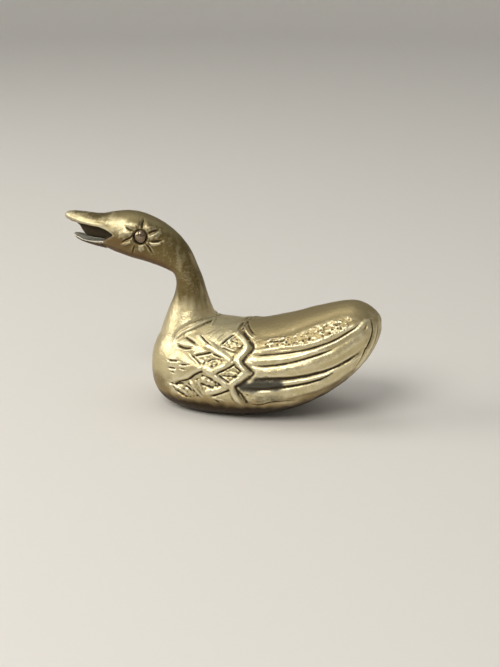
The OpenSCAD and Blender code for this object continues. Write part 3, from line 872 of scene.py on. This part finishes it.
def brass(name, bump, **choices):
    """A material of aged brass, with its own colours."""
    material = bpy.data.materials.new(name)
    material.use_nodes = True
    tree = material.node_tree
    shader = tree.nodes["Principled BSDF"].inputs
    group = tree.nodes.new("ShaderNodeGroup")
    group.node_tree = aged
    for key, value in choices.items():
        feed(tree, group.inputs[key], (*value, 1) if isinstance(value, tuple) else value)
    given_off = group.outputs
    raise_by = add(tree, "Bump", {}, Height=given_off["Height"], Distance=bump * MM, Strength=1.0)
    feed(tree, shader["Base Color"], given_off["Color"])
    feed(tree, shader["Roughness"], given_off["Roughness"])
    feed(tree, shader["Metallic"], given_off["Metallic"])
    feed(tree, shader["Normal"], raise_by.outputs["Normal"])
    return material


def mask(mesh, name, values):
    """Stores one value for each vertex."""
    carried = mesh.attributes.new(name, "FLOAT", "POINT")
    carried.data.foreach_set("value", values.astype(np.float32))


def finish(obj, material, node):
    """Brings a finished piece to metres, puts it under the root body and hides its CAD node."""
    mesh = obj.data
    # The bill and the eyes carry masks of their own
    if "hollow" not in mesh.attributes:
        nearest = nearest_to(skin_finder, mesh)
        for name, values in masks.items():
            mask(mesh, name, values[nearest])
    mesh.transform(Matrix.Scale(MM, 4))
    mesh.polygons.foreach_set("use_smooth", np.ones(len(mesh.polygons), bool))
    mesh.set_sharp_from_angle(angle=math.radians(50))
    mesh.materials.clear()
    mesh.materials.append(material)
    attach(obj, "root")
    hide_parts(node)


# The two body halves. Each is a cast shell, hollow inside, with a boss that
# takes the neck's spigot; pegs on the right one enter sockets in the left one.
# A vent hole for the brazing opens in the belly of the left half.
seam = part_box("seam_braze")[1].y / MM
wall = 2.4
spigot_r = 3.5
socket_r = spigot_r + 0.05
socket_z = joint_z - 8.5
boss_r = 5.8
behind_neck = 10
CAVITY = BODY[1:14]
cavity_power = 0.5
cavity_sides = 40
peg_places = [(-19.2, 13.8), (40.8, 33.8)]
peg_boss_r, peg_boss_y = 2.8, 4
peg_r, peg_start, peg_end = 1.2, 1.1, -2.1
hole_r, hole_start, hole_end = 1.25, 1, -2.6
vent_x, vent_y, vent_r, vent_top = 6.42, -2.7, 1.2, 4.8


def rod(radius, length, sides):
    """A round rod about Z."""
    bm = bmesh.new()
    form = {"radius1": radius, "radius2": radius, "depth": length}
    bmesh.ops.create_cone(bm, cap_ends=True, segments=sides, **form)
    return bm


def pin(x, z, radius, start, end):
    """A round pin or hole across the bird."""
    bm = rod(radius, abs(end - start), 32)
    bmesh.ops.rotate(bm, matrix=Matrix.Rotation(math.pi / 2, 3, "X"), verts=bm.verts)
    bmesh.ops.translate(bm, vec=(x, (start + end) / 2, z), verts=bm.verts)
    return as_object("pin", bm)


def post(x, y, radius, low, high):
    """A round post or hole that stands upright."""
    bm = rod(radius, high - low, 40)
    bmesh.ops.translate(bm, vec=(x, y, (low + high) / 2), verts=bm.verts)
    return as_object("post", bm)


def cavity_ring(row):
    """A ring of the hollow, one wall inside the body."""
    along, low, high, half = row
    share = (body_len - 2 * wall) / body_len
    x = body_low.x + wall + body_len * along / 100 * share
    low, high = max(0, body_h * low / 100) + wall, body_h * high / 100 - wall
    powers = upper_power, lower_power
    half = half_body * half / 100 - wall
    return upright_ring(x, low, high, half, cavity_power, powers, cavity_sides)


def copy_of(obj, name):
    """A second object with a mesh of its own."""
    twin = obj.copy()
    twin.data = obj.data.copy()
    twin.name = name
    bpy.context.scene.collection.objects.link(twin)
    return twin


def round_neck(low, high):
    """A block round the neck, from one height to another."""
    return block((-far, -far, low), (behind_neck, far, high))


void = carve(
    lofted("void", [cavity_ring(row) for row in spline(CAVITY, 3)]),
    ("DIFFERENCE", post(neck_x, 0, boss_r, socket_z, joint_z)),
    *[("DIFFERENCE", pin(x, z, peg_boss_r, -peg_boss_y, peg_boss_y)) for x, z in peg_places],
)
halves_brass = brass(
    "chased_cast_brass",
    bump=0.11,
    Bright=(0.86, 0.79, 0.56),
    Clean=(0.6, 0.51, 0.29),
    Khaki=(0.41, 0.33, 0.17),
    Tan=(0.26, 0.19, 0.085),
    Brown=(0.05, 0.03, 0.013),
    Dark=(0.05, 0.035, 0.018),
)
for side, name, node in ((-1, "left_half", "body_left"), (1, "right_half", "body_right")):
    low_y, high_y = sorted((side * seam, side * far))
    steps = [
        ("INTERSECT", block((-far, low_y, -far), (far, high_y, far))),
        ("DIFFERENCE", round_neck(joint_z, far)),
        ("DIFFERENCE", copy_of(void, "void_tool")),
        ("DIFFERENCE", post(neck_x, 0, socket_r, socket_z, joint_z + 1)),
    ]
    for x, z in peg_places:
        if side < 0:
            steps.append(("DIFFERENCE", pin(x, z, hole_r, hole_start, hole_end)))
        else:
            steps.append(("UNION", pin(x, z, peg_r, peg_start, peg_end)))
    if side < 0:
        steps.append(("DIFFERENCE", post(vent_x, vent_y, vent_r, -1, vent_top)))
    finish(carve(copy_of(skin, name), *steps), halves_brass, node)

# The seam filler. Braze that was run between the halves and filed flush. It has
# the outline of the walls, and is open where the spigot passes.
braze_brass = brass(
    "filed_braze",
    bump=0.05,
    Bright=(0.7, 0.6, 0.36),
    Clean=(0.55, 0.45, 0.25),
    Khaki=(0.26, 0.2, 0.1),
    Brown=(0.13, 0.09, 0.045),
    Dark=(0.1, 0.07, 0.03),
)
filler = carve(
    copy_of(skin, "seam_filler"),
    ("INTERSECT", block((-far, -seam, -far), (far, seam, far))),
    ("DIFFERENCE", round_neck(joint_z, far)),
    ("DIFFERENCE", copy_of(void, "void_tool")),
    ("DIFFERENCE", block((neck_x - spigot_r, -1, socket_z), (neck_x + spigot_r, 1, far))),
)
finish(filler, braze_brass, "seam_braze")

# The neck filler. A thin ring of braze under the foot of the neck, round the
# spigot and filed flush outside.
ring_of_braze = carve(
    copy_of(skin, "neck_filler"),
    ("INTERSECT", round_neck(joint_z, neck_base_z)),
    ("DIFFERENCE", post(neck_x, 0, socket_r, joint_z - 1, neck_base_z + 1)),
)
finish(ring_of_braze, braze_brass, "neck_braze")

# Neck, head and upper bill. One casting with a spigot below, a seat for each
# eye stud, and a notch where the lower bill is set in.
notch_x, notch_z = -38.26, 53.1
spigot_len = 8
seat_y, seat_r, past_head = 5.11, 2.2, 20
shank_hole_r, shank_hole_y = 0.85, 2.2
neck_brass = brass(
    "smooth_cast_brass",
    bump=0.07,
    Bright=(0.86, 0.79, 0.56),
    Clean=(0.6, 0.51, 0.29),
    Polish=-0.05,
    Wear=0.55,
    Khaki=(0.28, 0.23, 0.115),
    Tan=(0.18, 0.132, 0.05),
    Warm=(0.2, 0.13, 0.058),
    Brown=(0.13, 0.075, 0.03),
    Dark=(0.05, 0.036, 0.016),
)
steps = [
    ("INTERSECT", round_neck(neck_base_z, far)),
    ("DIFFERENCE", block((-far, -far, 0), (notch_x, far, notch_z))),
    ("UNION", post(neck_x, 0, spigot_r, joint_z - spigot_len, neck_base_z + 1)),
]
for radius, start, end in ((seat_r, seat_y, past_head), (shank_hole_r, shank_hole_y, seat_y + 1)):
    for side in (-1, 1):
        steps.append(("DIFFERENCE", pin(eye_x, eye_z, radius, side * start, side * end)))
finish(carve(copy_of(skin, "neck_casting"), *steps), neck_brass, "neck_head")
bpy.data.objects.remove(void)

# The lower bill. A small spoon of brass, hollowed along its top and dulled to a
# silvery grey, brazed into the notch of the jaw.
SPOON = [
    (-38.26, 53.1, 49.7, 4.5), (-42, 52.7, 50.4, 3.75), (-45.5, 52.8, 51.2, 3.1),
    (-48, 53.5, 52, 2.3), (-49.3, 53.9, 52.8, 1.4), (-49.8, 54, 53.4, 0.5),
]
scoop = 1.1
lip = 0.9
below_steps, above_steps = 23, 15
above_lift = 0.12


def spoon_ring(row):
    """Round below, hollow above, between two lips."""
    x, rim, low, half = row
    ring = []
    for k in range(below_steps + 1):
        turn = math.pi * k / below_steps
        ring.append(Vector((x, half * math.cos(turn), rim - (rim - low) * math.sin(turn))))
    inner = max(half - lip, 0.15 * half)
    deep = scoop * inner / 3
    for k in range(above_steps + 1):
        turn = math.pi * (above_steps - k) / above_steps
        up = rim - deep * math.sin(turn) + above_lift
        ring.append(Vector((x, inner * math.cos(turn), up)))
    return ring


def weathered(obj, passes, uneven):
    """Softens a small piece, roughens it and notes how hollow it is."""
    links = edges_of(obj.data)
    where = eased(points_of(obj.data), links, passes)
    put(obj.data, where)
    where = where + normals_of(obj.data) * (uneven * grain(where, 1.1, 31))[:, None]
    put(obj.data, where)
    return where, dip_of(where, links, normals_of(obj.data), 20, 0.1)


spoon = lofted("bill_spoon", [spoon_ring(row) for row in spline(SPOON, 5)])
evened(spoon, 0.16)
where, dip = weathered(spoon, 4, 0.06)
lean = normals_of(spoon.data)[:, 2]
carve(spoon, ("INTERSECT", block((-far, -far, 0), (notch_x, far, far))))
index = nearest_to(finder_of(where), spoon.data)
# Painted shadow inside the spoon's hollow top toward the web, through the hollow mask, and painted
# shade on its underside
inside = smooth_step(lean, 0.3, 0.8) * smooth_step(2.2 - np.abs(where[:, 1]), 0, 0.8)
inside *= smooth_step(where[:, 0], -48, -43)
mask(spoon.data, "hollow", (dip + 0.9 * inside)[index])
mask(spoon.data, "brown", smooth_step(-lean, 0.1, 0.55)[index])
bill_brass = brass(
    "dulled_bill_brass",
    bump=0.08,
    Bright=(0.78, 0.76, 0.66),
    Clean=(0.6, 0.58, 0.48),
    Khaki=(0.42, 0.4, 0.31),
    Warm=(0.2, 0.14, 0.08),
    Brown=(0.07, 0.04, 0.018),
    Dark=(0.04, 0.032, 0.024),
)
finish(spoon, bill_brass, "lower_bill")

# The eye studs. Domed heads of brass on short shanks, hammered into the seats
# on both sides of the head.
dome_r, dome_rise, dome_steps, dome_power = 2.15, 1.5, 9, 0.8
shank_r, shank_len = 0.8, 2.4
stud_sides = 48
# The stud's dark brown face colour is partly a painted dark reflection; its dome carries a painted
# highlight on top and painted shade toward its base.
eye_brass = brass(
    "worn_stud_brass",
    bump=0.05,
    Polish=0.16,
    Bright=(0.56, 0.46, 0.33),
    Clean=(0.14, 0.095, 0.058),
    Dark=(0.05, 0.035, 0.02),
)


def turned(profile, axis, sides, same):
    """A round body from pairs of radius and place along the axis."""
    bm = bmesh.new()
    dots = [bm.verts.new(Vector((r, 0, 0)) + along * Vector(axis)) for r, along in profile]
    rail = [bm.edges.new(pair) for pair in zip(dots, dots[1:])]
    whole = {"cent": (0, 0, 0), "axis": axis, "angle": 2 * math.pi, "use_merge": True}
    bmesh.ops.spin(bm, geom=dots + rail, steps=sides, **whole)
    bmesh.ops.remove_doubles(bm, verts=bm.verts, dist=same)
    bmesh.ops.recalc_face_normals(bm, faces=bm.faces)
    return bm


stud_profile = [(0.0, -shank_len), (shank_r, -shank_len), (shank_r, 0), (dome_r, 0)]
for k in range(1, dome_steps):
    turn = math.pi / 2 * k / dome_steps
    stud_profile.append((dome_r * math.cos(turn) ** dome_power, dome_rise * math.sin(turn)))
stud_profile.append((0.0, dome_rise))
for side, name, node in ((-1, "left_eye", "eye_stud_left"), (1, "right_eye", "eye_stud_right")):
    bm = turned(stud_profile, (0, 1, 0), stud_sides, 0.001)
    bmesh.ops.scale(bm, vec=(1, side, 1), verts=bm.verts)
    bmesh.ops.translate(bm, vec=(eye_x, side * seat_y, eye_z), verts=bm.verts)
    bmesh.ops.recalc_face_normals(bm, faces=bm.faces)
    stud = as_object(name, bm)
    where = points_of(stud.data)
    on_dome = np.abs(where[:, 1:2]) > seat_y + 0.1
    uneven = (0.12 * grain(where, 1.3, 71))[:, None]
    where = where + normals_of(stud.data) * uneven * on_dome
    put(stud.data, where)
    # Painted highlight and shade: the mask is low on top of the dome, which shows bright, and high
    # toward its base, which shows dark
    mask(stud.data, "hollow", 0.8 - 0.9 * (np.abs(where[:, 1]) - seat_y))
    finish(stud, eye_brass, node)
bpy.data.objects.remove(skin)

# Studio. A pale floor that curves up into a pale wall all round, and three soft
# lamps: a window on the left, a lamp high beside the camera, a weak one above.
floor_r, curve_r, curve_steps, wall_top = 1.1, 0.5, 12, 1.6
room = [(0.0, 0.0), (floor_r, 0.0)]
for k in range(1, curve_steps + 1):
    turn = math.pi / 2 * k / curve_steps
    room.append((floor_r + curve_r * math.sin(turn), curve_r - curve_r * math.cos(turn)))
room.append((floor_r + curve_r, wall_top))
bm = turned(room, (0, 0, 1), 96, 0.0001)
bmesh.ops.reverse_faces(bm, faces=bm.faces)
floor = as_object("floor", bm)
floor.data.polygons.foreach_set("use_smooth", np.ones(len(floor.data.polygons), bool))
paper = bpy.data.materials.new("pale_paper")
paper.use_nodes = True
paper_shader = paper.node_tree.nodes["Principled BSDF"].inputs
paper_shader["Base Color"].default_value = (0.8, 0.77, 0.72, 1)
paper_shader["Roughness"].default_value = 0.9
floor.data.materials.append(paper)

world = bpy.data.worlds.new("room_light")
bpy.context.scene.world = world
world.use_nodes = True
sky = world.node_tree.nodes["Background"].inputs
sky["Color"].default_value = (0.9, 0.95, 1, 1)
sky["Strength"].default_value = 0.4

lamp_width = 0.5
lamp_aim = Vector((0, 0, 0.03))
for name, place, power, color in (
    ("window", (-0.8, -0.2, 0.42), 2.8, (1, 0.97, 0.9)),
    ("room", (-0.2, -0.6, 0.7), 4.2, (1, 0.97, 0.92)),
    ("ceiling", (-0.25, 0.12, 0.95), 0.9, (1, 0.97, 0.92)),
):
    light = bpy.data.lights.new(name, "AREA")
    light.shape = "DISK"
    light.size = lamp_width
    light.energy = power
    light.color = color
    lamp = bpy.data.objects.new(name, light)
    bpy.context.scene.collection.objects.link(lamp)
    lamp.location = place
    lamp.rotation_euler = (Vector(place) - lamp_aim).to_track_quat("Z", "Y").to_euler()

# Camera, in front of the left flank and a little above it
target = Vector((0.009, 0, 0.0246))
distance = 0.385
azimuth, elevation = math.radians(15), math.radians(20)
level = Vector((math.sin(azimuth), -math.cos(azimuth), 0)) * math.cos(elevation)
back = level + Vector((0, 0, math.sin(elevation)))
camera = bpy.data.objects.new("camera", bpy.data.cameras.new("camera"))
bpy.context.scene.collection.objects.link(camera)
camera.data.sensor_fit = "HORIZONTAL"
camera.data.sensor_width = 36
camera.data.lens = 86.4
camera.location = target + distance * back
camera.rotation_euler = back.to_track_quat("Z", "Y").to_euler()
bpy.context.scene.camera = camera
bpy.context.scene.view_settings.view_transform = "Standard"
